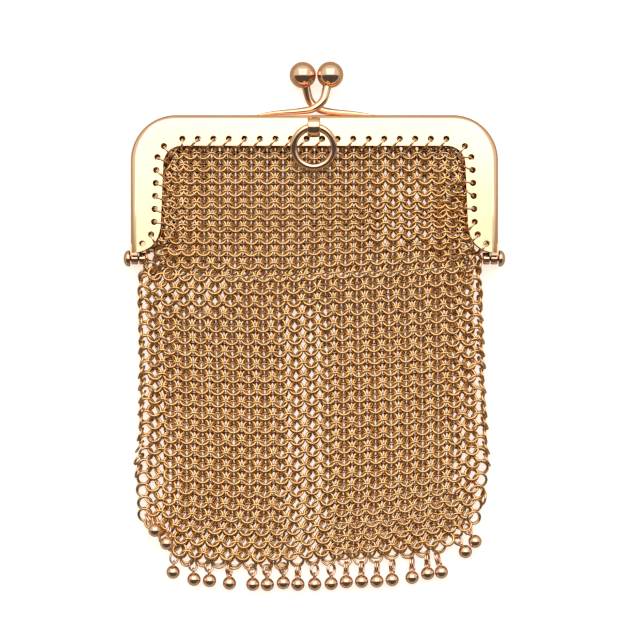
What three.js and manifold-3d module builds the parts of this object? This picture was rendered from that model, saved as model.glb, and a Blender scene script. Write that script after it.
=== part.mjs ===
// Ring mesh coin purse on a hinged kiss-lock frame, lying on its back.
// Lengths are in millimetres. X runs across the purse, Y from the hem to the clasp, Z from back to front.
// While it is built, Y is 0 on the hinge axis and Z is 0 midway between the two halves of the frame.
import * as THREE from 'three';
import { mergeVertices } from 'three/addons/utils/BufferGeometryUtils.js';
import Module from 'manifold-3d';

const wasm = await Module();
wasm.setup();

// Clearances
const SEAT_GAP = 0.3;
const RUNNING_GAP = 0.2;
const WELD = 1e-5;
const CUT_MARGIN = 1;

// Frame half: a stamped plate with a rounded shoulder and a wall that turns down to the other half
const FRAME_WIDTH = 61;
const FRAME_TOP = 23.8;
const FRAME_CORNER = 7.5;
const HALF_DEPTH = 2.5;
const SHEET = 0.6;
const SHOULDER = 0.95;
const MEETING_GAP = 0.3;
const LEG_END = 0.9;
const LEAST_BEND = 0.2;
const TOP_BAND = 5;
const SIDE_BAND = 5.3;
const WAIST_BAND = 4.9;
const WAIST_HEIGHT = 5.9;
const INNER_CORNER = 3.2;
const CORNER_STEPS = 6;
const SHOULDER_STEPS = 2;
const SWEEP_STEPS = 4;
// How the leg's inner edge sweeps out to the hinge, as shares of the waist band and the waist's rise
const SWEEP = [
  { out: 0, rise: 1 },
  { out: 0.04, rise: 0.42 },
  { out: 0.27, rise: 0.1 },
  { out: 0.94, rise: 0 },
];

// Holes that the lacing rings pass through
const HOLE_DIAMETER = 0.95;
const HOLE_INSET = 1;
const TOP_PITCH = 2.65;
const LEG_PITCH = 2.2;
const TOP_ROW_END = 3.3;
const HOLE_SIDES = 6;

// Hinges
const KNUCKLE_DIAMETER = 2;
const KNUCKLE_LENGTH = 1.1;
const PIN_DIAMETER = 0.8;
const PIN_CAP_DIAMETER = 2.7;
const PIN_CAP_HEIGHT = 1.1;
const PIN_CAP_EDGE = 0.275;
const CAP_STEPS = 3;
const TAB_RISE = 1.5;
const ROUND_SIDES = 12;

// Kiss-lock clasp: the front arm ends in the right ball, the back arm is its mirror image
const CLASP_X = 0.35;
const BALL_DIAMETER = 4.4;
const BALL_SPREAD = 4.57;
const BALL_RISE = 6.8;
const BALL_STAGGER = 0.3;
const ARM_REACH = 9.9;
const ARM_DIAMETER = 1.35;
const ARM_SIDES = 8;
const ARM_STEPS = 14;
const BALL_SIDES = 14;
const BALL_BANDS = 8;
// Arm's centre line from its tip on the rim to the ball. It runs along by shares of the arm's reach
// and then of half the spread between the balls. up is a share of the ball's rise. fore is a share
// of the half's depth. thick is a share of the arm's diameter.
const ARM = [
  { reach: -1, spread: 0, up: 0.005, fore: 0.46, thick: 0.2 },
  { reach: -0.7, spread: 0, up: 0.055, fore: 0.46, thick: 0.52 },
  { reach: -0.24, spread: 0, up: 0.105, fore: 0.42, thick: 0.8 },
  { reach: -0.05, spread: 0, up: 0.17, fore: 0.38, thick: 0.94 },
  { reach: 0, spread: 0.46, up: 0.36, fore: 0.33, thick: 0.98 },
  { reach: 0, spread: 0.74, up: 0.66, fore: 0.22, thick: 1.02 },
  { reach: 0, spread: 0.9, up: 0.88, fore: 0.14, thick: 1.3 },
];

// Eye on the front plate and the ring that hangs in it
const EYE_DIAMETER = 3.3;
const EYE_WIDTH = 2.1;
const EYE_FLAT = 0.7;
const EYE_HOLE = 1.95;
const EYE_BARREL = 0.2;
const EYE_BELOW_TOP = 2.05;
const EYE_LIFT = 1.35;
const EYE_X = -0.1;
const RING_DIAMETER = 7.9;
const RING_WIRE = 1.2;
const RING_SIDES = 20;
const RING_WIRE_SIDES = 6;

// Mesh bag: two layers of ring mesh, open above the hinges and closed round the sides and hem
const BAG_LENGTH = 51.4;
const BAG_INSET = 0.8;
const MESH_THICKNESS = 1;
const LAYER_GAP = 0.4;
const TUCK = 0.75;
const SETTLE_START = 1;
const SETTLE_END = 10;
const LIP_POWER = 6;
const HEM_SAG = 0.4;
const RIPPLE = 0.3;
const RIPPLE_LENGTH = 17;
const BAG_COLUMNS = 8;
const MOUTH_ROWS = 2;
// Extra sections where the bag settles, as shares of its length
const SETTLE_ROWS = [0.115, 0.16];
// Bag outline below the hinges: down is a share of its length, left and right of its half width
const OUTLINE = [
  { down: 0, left: 0.93, right: 0.925 },
  { down: 0.022, left: 0.935, right: 0.928 },
  { down: 0.045, left: 0.985, right: 0.938 },
  { down: 0.08, left: 1, right: 0.942 },
  { down: 0.23, left: 0.995, right: 0.953 },
  { down: 0.4, left: 0.99, right: 0.963 },
  { down: 0.56, left: 0.997, right: 0.977 },
  { down: 0.7, left: 1.012, right: 0.993 },
  { down: 0.765, left: 1.02, right: 0.986 },
  { down: 0.82, left: 1, right: 0.952 },
  { down: 0.865, left: 0.965, right: 0.895 },
  { down: 0.905, left: 0.92, right: 0.83 },
  { down: 0.94, left: 0.87, right: 0.765 },
  { down: 0.97, left: 0.805, right: 0.69 },
  { down: 0.99, left: 0.74, right: 0.59 },
  { down: 1, left: 0.67, right: 0.47 },
];
// The outline's row where the hem starts to round in, and how finely a place on the hem is sought
const HEM_ROW = 8;
const HEM_TRIES = 24;

// Ball drops on their links
const DROP_DIAMETER = 2.22;
const DROP_EYE_RADIUS = 0.42;
const DROP_EYE_WIRE = 0.28;
const DROP_EYE_SIDES = 8;
const DROP_SUNK = 0.09;
const LINK_LENGTH = 2.2;
const LINK_WIDTH = 1.65;
const LINK_WIRE = 0.35;
const LINK_SINK = 0.8;
const LINK_SIDES = 10;
const WIRE_SIDES = 5;
const DROP_SIDES = 10;
const DROP_BANDS = 5;
const LYING_PITCH = 26;
// Where each link leaves the hem. across is a share of the bag's half width. heading is in degrees
// from straight down to the right. turn rolls the link about its own length. pull is how much
// further than LINK_SINK the link is drawn in, as a share of it.
const DROPS = [
  { across: -0.79, heading: -4, turn: 10, pull: 0.5 },
  { across: -0.683, heading: 4, turn: 15, pull: 0.5 },
  { across: -0.594, heading: 3, turn: 20, pull: 0.5 },
  { across: -0.481, heading: 2, turn: 60, pull: 0.1 },
  { across: -0.35, heading: 2, turn: 20, pull: 0 },
  { across: -0.268, heading: 2, turn: 35, pull: 0 },
  { across: -0.175, heading: 0, turn: 30, pull: 0.4 },
  { across: -0.093, heading: 0, turn: 70, pull: 0.1 },
  { across: 0, heading: 1, turn: 25, pull: 0.1 },
  { across: 0.094, heading: 0, turn: 30, pull: 0.2 },
  { across: 0.179, heading: 0, turn: 80, pull: 0.5 },
  { across: 0.265, heading: 0, turn: 75, pull: 0.5 },
  { across: 0.351, heading: 0, turn: 80, pull: 0.45 },
  { across: 0.437, heading: 0, turn: 65, pull: 0.6 },
  { across: 0.549, heading: 0, turn: 80, pull: 0.6 },
  { across: 0.634, heading: 2, turn: 75, pull: 0.65 },
  { across: 0.69, heading: 16, turn: 70, pull: 0.1 },
  { across: 0.808, heading: 34, turn: 30, pull: 0.6 },
  { across: 0.865, heading: 32, turn: 20, pull: 0.65 },
];
// The two drops that lie up on the bag: across and down place the link's root, as shares of the
// bag's half width and length, and heading is as above
const LYING_DROPS = [
  { across: -0.943, down: 0.83, heading: 30, turn: 90 },
  { across: -0.81, down: 0.865, heading: -10, turn: 90 },
];

// Sizes that follow from the ones above
const HALF_WIDTH = FRAME_WIDTH / 2;
const BAG_HALF_WIDTH = HALF_WIDTH - BAG_INSET;
const PLATE_FRONT = MEETING_GAP / 2 + HALF_DEPTH;
const PLATE_BACK = PLATE_FRONT - SHEET;
const FLOOR = -PLATE_FRONT;
const INNER_TOP = FRAME_TOP - TOP_BAND;
const EYE_Y = FRAME_TOP - EYE_BELOW_TOP;
const EYE_Z = PLATE_FRONT + EYE_LIFT;
const RING_RADIUS = (RING_DIAMETER - RING_WIRE) / 2;
const DROP_RADIUS = DROP_DIAMETER / 2;
const LINK_HALF = (LINK_LENGTH - LINK_WIRE) / 2;
const LINK_HALF_WIDTH = (LINK_WIDTH - LINK_WIRE) / 2;
const BALL_FROM_EYE = DROP_EYE_RADIUS + DROP_RADIUS - DROP_SUNK;

// Turns a geometry into a solid with shared corners
function toSolid(geometry) {
  const bare = geometry.clone();
  bare.deleteAttribute('normal');
  bare.deleteAttribute('uv');
  const welded = mergeVertices(bare, WELD);
  return new wasm.Manifold(new wasm.Mesh({
    numProp: 3,
    vertProperties: Float32Array.from(welded.attributes.position.array),
    triVerts: Uint32Array.from(welded.index.array),
  }));
}

function toGeometry(solid) {
  const mesh = solid.getMesh();
  const geometry = new THREE.BufferGeometry();
  geometry.setAttribute('position', new THREE.BufferAttribute(Float32Array.from(mesh.vertProperties), 3));
  geometry.setIndex(Array.from(mesh.triVerts));
  geometry.computeVertexNormals();
  return geometry;
}

// Closed body through rings of points, each ring counterclockwise seen from the last ring's side
function loft(rings) {
  const count = rings[0].length;
  const points = rings.flat();
  const triangles = [];
  for (let i = 0; i + 1 < rings.length; i += 1) {
    for (let j = 0; j < count; j += 1) {
      const a = i * count + j;
      const b = i * count + (j + 1) % count;
      triangles.push(a, b, b + count, a, b + count, a + count);
    }
  }
  const middle = (ring) => ring.reduce((sum, p) => sum.add(p), new THREE.Vector3()).divideScalar(count);
  const first = points.push(middle(rings[0])) - 1;
  const last = points.push(middle(rings[rings.length - 1])) - 1;
  const lastRing = (rings.length - 1) * count;
  for (let j = 0; j < count; j += 1) {
    const next = (j + 1) % count;
    triangles.push(first, next, j, last, lastRing + j, lastRing + next);
  }
  const geometry = new THREE.BufferGeometry().setFromPoints(points);
  geometry.setIndex(triangles);
  return geometry;
}

// Mirror image across the plane at 0 on one axis, still facing out
function mirrored(geometry, axis) {
  const scale = new THREE.Vector3(1, 1, 1);
  scale[axis] = -1;
  const copy = geometry.clone();
  copy.scale(scale.x, scale.y, scale.z);
  const index = Array.from(copy.index.array);
  for (let i = 0; i < index.length; i += 3) {
    [index[i + 1], index[i + 2]] = [index[i + 2], index[i + 1]];
  }
  copy.setIndex(index);
  return copy;
}

// Round bar along X from one place to another
function barAlongX(radius, from, to, sides) {
  const bar = new THREE.CylinderGeometry(radius, radius, to - from, sides);
  bar.rotateZ(Math.PI / 2);
  bar.translate((from + to) / 2, 0, 0);
  return bar;
}

// Outer outline of a frame half, drawn in by inset, with its legs ending at the height bottom
function frameOutline(inset, bottom, z) {
  const radius = FRAME_CORNER - inset;
  const corner = HALF_WIDTH - FRAME_CORNER;
  const right = [new THREE.Vector3(HALF_WIDTH - inset, bottom, z)];
  for (let i = 0; i <= CORNER_STEPS; i += 1) {
    const angle = (i / CORNER_STEPS) * Math.PI / 2;
    const x = corner + radius * Math.cos(angle);
    const y = FRAME_TOP - FRAME_CORNER + radius * Math.sin(angle);
    right.push(new THREE.Vector3(x, y, z));
  }
  const left = right.map((p) => new THREE.Vector3(-p.x, p.y, p.z)).reverse();
  return [...right, ...left];
}

// Tray with a rounded shoulder: the frame's outline from one height up to another
function tray(inset, bottom, low, high, shoulder) {
  const rings = [frameOutline(inset, bottom, low)];
  for (let i = 0; i <= SHOULDER_STEPS; i += 1) {
    const angle = (i / SHOULDER_STEPS) * Math.PI / 2;
    const drawnIn = inset + shoulder * (1 - Math.cos(angle));
    rings.push(frameOutline(drawnIn, bottom, high - shoulder * (1 - Math.sin(angle))));
  }
  return loft(rings);
}

// Right inner edge of a leg from its end up to the inner corner, moved outward by grow
function innerEdge(grow) {
  const waist = HALF_WIDTH - WAIST_BAND;
  const points = SWEEP.map(({ out, rise }) => new THREE.Vector2(
    waist + out * WAIST_BAND,
    LEG_END + rise * (WAIST_HEIGHT - LEG_END),
  ));
  const sweep = new THREE.CubicBezierCurve(points[3], points[2], points[1], points[0]);
  const top = new THREE.Vector2(HALF_WIDTH - SIDE_BAND, INNER_TOP - INNER_CORNER);
  const edge = [...sweep.getPoints(SWEEP_STEPS), top];
  return edge.map((p, i) => {
    const before = edge[Math.max(i - 1, 0)];
    const after = edge[Math.min(i + 1, edge.length - 1)];
    const side = new THREE.Vector2(after.y - before.y, before.x - after.x).normalize();
    return p.clone().addScaledVector(side, grow);
  });
}

// The gap inside the frame, which the bag fills
function openingSolid() {
  const right = innerEdge(0);
  const corner = new THREE.Vector2(HALF_WIDTH - SIDE_BAND - INNER_CORNER, INNER_TOP - INNER_CORNER);
  for (let i = 1; i <= CORNER_STEPS; i += 1) {
    const angle = (i / CORNER_STEPS) * Math.PI / 2;
    right.push(new THREE.Vector2(
      corner.x + INNER_CORNER * Math.cos(angle),
      corner.y + INNER_CORNER * Math.sin(angle),
    ));
  }
  right.unshift(new THREE.Vector2(right[0].x, LEG_END - CUT_MARGIN));
  const left = right.map((p) => new THREE.Vector2(-p.x, p.y)).reverse();
  const shape = new THREE.Shape([...right, ...left]);
  const depth = PLATE_FRONT + 2 * CUT_MARGIN;
  const block = new THREE.ExtrudeGeometry(shape, { depth, bevelEnabled: false });
  block.translate(0, 0, -CUT_MARGIN);
  return toSolid(block);
}

// Centres of the holes: a row along the top and one down each leg
function holeCentres() {
  const centres = [];
  const rowHalf = HALF_WIDTH - SIDE_BAND - TOP_ROW_END;
  const gaps = Math.max(1, Math.round((2 * rowHalf) / TOP_PITCH));
  for (let i = 0; i <= gaps; i += 1) {
    centres.push(new THREE.Vector2(-rowHalf + (2 * rowHalf * i) / gaps, INNER_TOP + HOLE_INSET));
  }
  const route = legRoute();
  const count = Math.max(1, Math.round(route.getLength() / LEG_PITCH));
  for (let i = 0; i <= count; i += 1) {
    const p = route.getPointAt(i / count);
    centres.push(new THREE.Vector2(p.x, p.y), new THREE.Vector2(-p.x, p.y));
  }
  return centres;
}

// Line that a leg's holes follow: from the middle of the inner corner down along the inner edge
function legRoute() {
  const points = innerEdge(HOLE_INSET).slice(1).reverse();
  const reach = INNER_CORNER + HOLE_INSET;
  for (let i = 1; i <= CORNER_STEPS; i += 1) {
    const angle = (i / CORNER_STEPS) * Math.PI / 4;
    points.unshift(new THREE.Vector2(
      HALF_WIDTH - SIDE_BAND - INNER_CORNER + reach * Math.cos(angle),
      INNER_TOP - INNER_CORNER + reach * Math.sin(angle),
    ));
  }
  const route = new THREE.CurvePath();
  points.slice(1).forEach((p, i) => route.add(new THREE.LineCurve(points[i], p)));
  return route;
}

function holeSolids() {
  return holeCentres().map((centre) => {
    const drill = new THREE.CylinderGeometry(
      HOLE_DIAMETER / 2,
      HOLE_DIAMETER / 2,
      SHEET + 2 * SEAT_GAP,
      HOLE_SIDES,
    );
    drill.rotateX(Math.PI / 2);
    drill.translate(centre.x, centre.y, (PLATE_FRONT + PLATE_BACK) / 2);
    return toSolid(drill);
  });
}

// Where a knuckle starts along X: 0 is the outer one, 1 the inner one
function knuckleStart(place) {
  return HALF_WIDTH - KNUCKLE_LENGTH - place * (KNUCKLE_LENGTH + RUNNING_GAP);
}

// Bored knuckle at the foot of the right leg, with the tab that joins it to the plate
function addKnuckle(half, place) {
  const start = knuckleStart(place);
  const end = start + KNUCKLE_LENGTH;
  const radius = KNUCKLE_DIAMETER / 2;
  const tab = new THREE.BoxGeometry(KNUCKLE_LENGTH, TAB_RISE + radius / 2, PLATE_BACK + SHEET / 2 - SEAT_GAP);
  tab.translate(
    (start + end) / 2,
    (TAB_RISE + radius / 2) / 2 + radius / 2,
    (PLATE_BACK + SHEET / 2 + SEAT_GAP) / 2,
  );
  const knuckle = barAlongX(radius, start, end, ROUND_SIDES);
  const bore = barAlongX(
    PIN_DIAMETER / 2 + RUNNING_GAP,
    start - CUT_MARGIN / 2,
    end + CUT_MARGIN / 2,
    ROUND_SIDES,
  );
  let joined = half;
  for (const part of [tab, knuckle]) {
    joined = joined.add(toSolid(part)).add(toSolid(mirrored(part, 'x')));
  }
  return joined.subtract(toSolid(bore)).subtract(toSolid(mirrored(bore, 'x')));
}

// Tapered clasp arm with its ball. The front one runs to the right.
function claspArm() {
  const reached = ARM.map((row) => new THREE.Vector4(
    row.reach * ARM_REACH + row.spread * BALL_SPREAD / 2,
    FRAME_TOP + row.up * BALL_RISE,
    row.fore * PLATE_FRONT,
    row.thick * ARM_DIAMETER / 2,
  ));
  const line = new THREE.CatmullRomCurve3(reached.map((p) => new THREE.Vector3(p.x, p.y, p.z)));
  const girth = new THREE.SplineCurve(reached.map((p, i) => new THREE.Vector2(i, p.w)));
  const rings = [];
  for (let i = 0; i <= ARM_STEPS; i += 1) {
    const t = i / ARM_STEPS;
    const at = line.getPoint(t);
    const ahead = line.getTangent(t);
    const radius = girth.getPoint(t).y;
    const across = new THREE.Vector3(0, 0, 1).cross(ahead).normalize();
    const up = ahead.clone().cross(across);
    const ring = [];
    for (let j = 0; j < ARM_SIDES; j += 1) {
      const angle = (j / ARM_SIDES) * 2 * Math.PI;
      ring.push(at.clone()
        .addScaledVector(across, radius * Math.cos(angle))
        .addScaledVector(up, radius * Math.sin(angle)));
    }
    rings.push(ring);
  }
  const ball = new THREE.SphereGeometry(BALL_DIAMETER / 2, BALL_SIDES, BALL_BANDS);
  ball.translate(BALL_SPREAD / 2, FRAME_TOP + BALL_RISE, BALL_STAGGER);
  return [loft(rings), ball];
}

// Barrel-shaped eye, turned on the X axis
function eyeGeometry() {
  const outer = EYE_DIAMETER / 2;
  const half = EYE_WIDTH / 2;
  const profile = [
    new THREE.Vector2(EYE_HOLE / 2, -half),
    new THREE.Vector2(outer - EYE_BARREL, -half),
    new THREE.Vector2(outer, -EYE_FLAT / 2),
    new THREE.Vector2(outer, EYE_FLAT / 2),
    new THREE.Vector2(outer - EYE_BARREL, half),
    new THREE.Vector2(EYE_HOLE / 2, half),
    new THREE.Vector2(EYE_HOLE / 2, -half),
  ];
  const eye = new THREE.LatheGeometry(profile, ROUND_SIDES);
  eye.rotateZ(Math.PI / 2);
  eye.translate(EYE_X, EYE_Y, EYE_Z);
  return eye;
}

// One half of the frame, built as the front one; place says which knuckle it carries
function frameHalf(place) {
  const low = MEETING_GAP / 2;
  const shell = toSolid(tray(0, LEG_END, low, PLATE_FRONT, SHOULDER));
  const insideShoulder = Math.max(SHOULDER - SHEET, LEAST_BEND);
  const hollow = toSolid(tray(SHEET, LEG_END - CUT_MARGIN, low - CUT_MARGIN, PLATE_BACK, insideShoulder));
  let half = shell.subtract(hollow).subtract(openingSolid());
  half = holeSolids().reduce((solid, hole) => solid.subtract(hole), half);
  return addKnuckle(half, place);
}

// Front half with its arm running right and the eye soldered to its plate
function frontFrame() {
  const arm = claspArm().map((part) => part.translate(CLASP_X, 0, 0));
  return toGeometry([...arm, eyeGeometry()].reduce((solid, part) => solid.add(toSolid(part)), frameHalf(0)));
}

// Back half: its plate faces down and its arm runs left
function backFrame() {
  const arm = claspArm().map((part) => mirrored(part, 'x').translate(CLASP_X, 0, 0));
  return mirrored(toGeometry(arm.reduce((solid, part) => solid.add(toSolid(part)), frameHalf(1))), 'z');
}

// Pin of the right hinge, with a domed cap outside
function hingePin() {
  const radius = PIN_DIAMETER / 2;
  const capStart = HALF_WIDTH + RUNNING_GAP;
  const innerEnd = knuckleStart(1) - RUNNING_GAP / 2;
  const profile = [new THREE.Vector2(0, innerEnd), new THREE.Vector2(radius, innerEnd)];
  profile.push(new THREE.Vector2(radius, capStart), new THREE.Vector2(PIN_CAP_DIAMETER / 2, capStart));
  for (let i = 0; i < CAP_STEPS; i += 1) {
    const angle = (i / CAP_STEPS) * Math.PI / 2;
    profile.push(new THREE.Vector2(
      (PIN_CAP_DIAMETER / 2) * Math.cos(angle),
      capStart + PIN_CAP_EDGE + (PIN_CAP_HEIGHT - PIN_CAP_EDGE) * Math.sin(angle),
    ));
  }
  profile.push(new THREE.Vector2(0, capStart + PIN_CAP_HEIGHT));
  const pin = new THREE.LatheGeometry(profile, ROUND_SIDES);
  pin.rotateZ(-Math.PI / 2);
  return toGeometry(toSolid(pin));
}

// Smooth step from 0 to 1 as a value goes from one place to another
function ease(value, from, to) {
  return THREE.MathUtils.smoothstep(value, Math.min(from, to), Math.max(from, to));
}

// How far the bag has settled from between the halves down to the surface: 0 at the hinges, 1 below
function settled(y) {
  return ease(-y, SETTLE_START, SETTLE_END);
}

// Left and right edges of the bag at a height
function bagEdges(y) {
  if (y >= 0) {
    const edge = innerEdge(TUCK);
    const upper = edge.findIndex((p) => p.y >= y);
    const high = edge[upper < 0 ? edge.length - 1 : upper];
    const low = edge[Math.max((upper < 0 ? edge.length : upper) - 1, 0)];
    const share = high.y > low.y ? THREE.MathUtils.clamp((y - low.y) / (high.y - low.y), 0, 1) : 0;
    const inFrame = THREE.MathUtils.lerp(low.x, high.x, share);
    const limit = OUTLINE[0];
    return {
      left: Math.min(inFrame, limit.left * BAG_HALF_WIDTH),
      right: Math.min(inFrame, limit.right * BAG_HALF_WIDTH),
    };
  }
  const down = Math.min(-y / BAG_LENGTH, 1);
  const next = Math.max(OUTLINE.findIndex((row) => row.down >= down), 1);
  const above = OUTLINE[next - 1];
  const below = OUTLINE[next];
  const share = (down - above.down) / (below.down - above.down);
  return {
    left: THREE.MathUtils.lerp(above.left, below.left, share) * BAG_HALF_WIDTH,
    right: THREE.MathUtils.lerp(above.right, below.right, share) * BAG_HALF_WIDTH,
  };
}

// Soft unevenness of the front layer where it lies loose below the frame
function ripple(x, y) {
  const across = Math.sin((x / RIPPLE_LENGTH) * 2 * Math.PI + y / RIPPLE_LENGTH);
  const along = Math.cos((y / RIPPLE_LENGTH) * Math.PI - x / RIPPLE_LENGTH);
  return RIPPLE * (across + along) / 2 * settled(y);
}

// Middle height and half thickness of the bag at a height Y
function bagLayers(y) {
  const mouthHalf = PLATE_BACK - SEAT_GAP;
  const lyingHalf = MESH_THICKNESS + LAYER_GAP / 2;
  const half = THREE.MathUtils.lerp(mouthHalf, lyingHalf, settled(y));
  return { half, middle: THREE.MathUtils.lerp(0, FLOOR + lyingHalf, settled(y)) };
}

// How much lower the hem hangs at a place across it
function hemSag(share, y) {
  return -HEM_SAG * (1 - share * share) * ease(-y, BAG_LENGTH / 2, BAG_LENGTH);
}

// Section through the bag at a height: edge moves the sides in or out and skin thins the layers
function bagSection(y, edge, skin) {
  const sides = bagEdges(y);
  const left = sides.left + edge;
  const right = sides.right + edge;
  const { half, middle } = bagLayers(y);
  const upper = [];
  const lower = [];
  for (let i = 0; i <= BAG_COLUMNS; i += 1) {
    const u = Math.sin((i / BAG_COLUMNS - 0.5) * Math.PI);
    const x = (right - left) / 2 + u * (right + left) / 2;
    const bulge = (half - skin) * (1 - Math.abs(u) ** LIP_POWER) ** (1 / LIP_POWER);
    const wave = ripple(x, y) * (1 - u ** 4);
    const drop = y + hemSag(u, y);
    upper.push(new THREE.Vector3(x, drop, middle + bulge + wave));
    lower.push(new THREE.Vector3(x, drop, middle - bulge));
  }
  return [...upper, ...lower.slice(1, -1).reverse()];
}

// Heights of the bag's sections from its mouth to its hem
function bagHeights() {
  const top = INNER_TOP + TUCK;
  const mouth = [];
  for (let i = 0; i < MOUTH_ROWS; i += 1) {
    mouth.push(top * (1 - i / MOUTH_ROWS));
  }
  const settling = SETTLE_ROWS.map((down) => -down * BAG_LENGTH);
  const below = OUTLINE.map((row) => -row.down * BAG_LENGTH);
  return [...mouth, ...below, ...settling].sort((a, b) => b - a);
}

// Anchor of a link on the hem at a place across the bag
function hemPoint(x) {
  let high = -OUTLINE[HEM_ROW].down * BAG_LENGTH;
  let low = -BAG_LENGTH;
  const reaches = (y) => (x < 0 ? bagEdges(y).left : bagEdges(y).right) >= Math.abs(x);
  for (let i = 0; i < HEM_TRIES; i += 1) {
    const y = (high + low) / 2;
    if (reaches(y)) {
      high = y;
    } else {
      low = y;
    }
  }
  const { left, right } = bagEdges(high);
  const share = (2 * x + left - right) / (left + right);
  return new THREE.Vector2(x, high + hemSag(share, high));
}

// Places a drop's own axes: origin at the middle of its eye's hole, -Y towards the ball
function dropPlacement(anchor, heading, pitch, turn, reach) {
  const turnZ = new THREE.Matrix4().makeRotationZ(THREE.MathUtils.degToRad(heading));
  const turnX = new THREE.Matrix4().makeRotationX(THREE.MathUtils.degToRad(-pitch));
  const turnY = new THREE.Matrix4().makeRotationY(THREE.MathUtils.degToRad(turn));
  const place = new THREE.Matrix4().makeTranslation(anchor.x, anchor.y, anchor.z);
  place.multiply(turnZ).multiply(turnX).multiply(turnY);
  return place.multiply(new THREE.Matrix4().makeTranslation(0, -reach, 0));
}

// Placements of all the drops, the two that lie up on the bag first
function dropPlacements() {
  const lying = LYING_DROPS.map(({ across, down, heading, turn }) => {
    const x = across * BAG_HALF_WIDTH;
    const y = -down * BAG_LENGTH;
    const { half, middle } = bagLayers(y);
    const root = new THREE.Vector3(x, y, middle + half - LINK_WIRE / 2);
    return dropPlacement(root, heading, LYING_PITCH, turn, 2 * LINK_HALF);
  });
  const hanging = DROPS.map(({ across, heading, turn, pull }) => {
    const { x, y } = hemPoint(across * BAG_HALF_WIDTH);
    const anchor = new THREE.Vector3(x, y, FLOOR + DROP_RADIUS);
    return dropPlacement(anchor, heading, 0, turn, LINK_LENGTH - LINK_WIRE / 2 - LINK_SINK * (1 + pull));
  });
  return [...lying, ...hanging];
}

// Oval link in the drop's own axes: its lower end passes through the eye
function linkGeometry() {
  const link = new THREE.TorusGeometry(LINK_HALF_WIDTH, LINK_WIRE / 2, WIRE_SIDES, LINK_SIDES);
  link.scale(1, LINK_HALF / LINK_HALF_WIDTH, 1);
  link.translate(0, LINK_HALF, 0);
  return link;
}

// Ball and its eye, in the drop's own axes
function dropGeometry() {
  const eye = new THREE.TorusGeometry(DROP_EYE_RADIUS, DROP_EYE_WIRE / 2, WIRE_SIDES, DROP_EYE_SIDES);
  eye.rotateY(Math.PI / 2);
  const ball = new THREE.SphereGeometry(DROP_RADIUS, DROP_SIDES, DROP_BANDS);
  ball.translate(0, -BALL_FROM_EYE, 0);
  return toGeometry(toSolid(eye).add(toSolid(ball)));
}

// Hollow bag with the hem's links fused to it
function meshBag(placements) {
  const heights = bagHeights();
  const outer = toSolid(loft(heights.map((y) => bagSection(y, 0, 0)).reverse()));
  const openBelow = -OUTLINE[1].down * BAG_LENGTH;
  const inside = heights.filter((y) => y > -BAG_LENGTH + MESH_THICKNESS);
  const rows = [inside[0] + CUT_MARGIN, ...inside, -BAG_LENGTH + MESH_THICKNESS];
  const hollow = toSolid(loft(rows.map((y) => {
    const edge = y > openBelow ? CUT_MARGIN : -MESH_THICKNESS;
    return bagSection(y, edge, MESH_THICKNESS);
  }).reverse()));
  const link = linkGeometry();
  const linked = placements.reduce(
    (solid, place) => solid.add(toSolid(link.clone().applyMatrix4(place))),
    outer,
  );
  return toGeometry(linked.subtract(hollow));
}

// Suspension ring as it lies: its wire through the eye, its side on the plate's inner edge
function suspensionRing() {
  const ring = new THREE.TorusGeometry(RING_RADIUS, RING_WIRE / 2, RING_WIRE_SIDES, RING_SIDES);
  ring.translate(0, -RING_RADIUS, 0);
  return toGeometry(toSolid(ring));
}

function ringTilt() {
  const clearance = EYE_LIFT - RING_WIRE / 2 - RUNNING_GAP;
  return Math.asin(THREE.MathUtils.clamp(clearance / (EYE_Y - INNER_TOP), 0, 1));
}

function metal(color, roughness) {
  return new THREE.MeshStandardMaterial({ color, roughness, metalness: 1 });
}

function named(name, geometry, material) {
  const mesh = new THREE.Mesh(geometry, material);
  mesh.name = name;
  return mesh;
}

// Assembles the purse and sets its origin under the middle of its box, on the surface it lies on
function buildPurse() {
  const purse = new THREE.Group();
  const placements = dropPlacements();
  purse.add(named('front_frame', frontFrame(), metal(0xf3dfae, 0.12)));
  purse.add(named('back_frame', backFrame(), metal(0xf3dfae, 0.12)));
  purse.add(named('mesh_bag', meshBag(placements), metal(0xb8924f, 0.3)));

  const pin = hingePin();
  purse.add(named('hinge_pin_right', pin, metal(0xd9a878, 0.18)));
  purse.add(named('hinge_pin_left', mirrored(pin, 'x'), metal(0xd9a878, 0.18)));

  const ring = named('suspension_ring', suspensionRing(), metal(0xdba874, 0.12));
  ring.position.set(EYE_X, EYE_Y, EYE_Z);
  ring.rotation.x = ringTilt();
  purse.add(ring);

  const drop = dropGeometry();
  placements.forEach((place, i) => {
    const ball = named(`ball_drop_${String(i + 1).padStart(2, '0')}`, drop, metal(0xd49b6c, 0.12));
    ball.applyMatrix4(place);
    purse.add(ball);
  });

  const centre = new THREE.Box3().setFromObject(purse).getCenter(new THREE.Vector3());
  purse.position.set(-centre.x, -centre.y, -FLOOR);
  return purse;
}

export default buildPurse();
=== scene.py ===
import math

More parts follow.
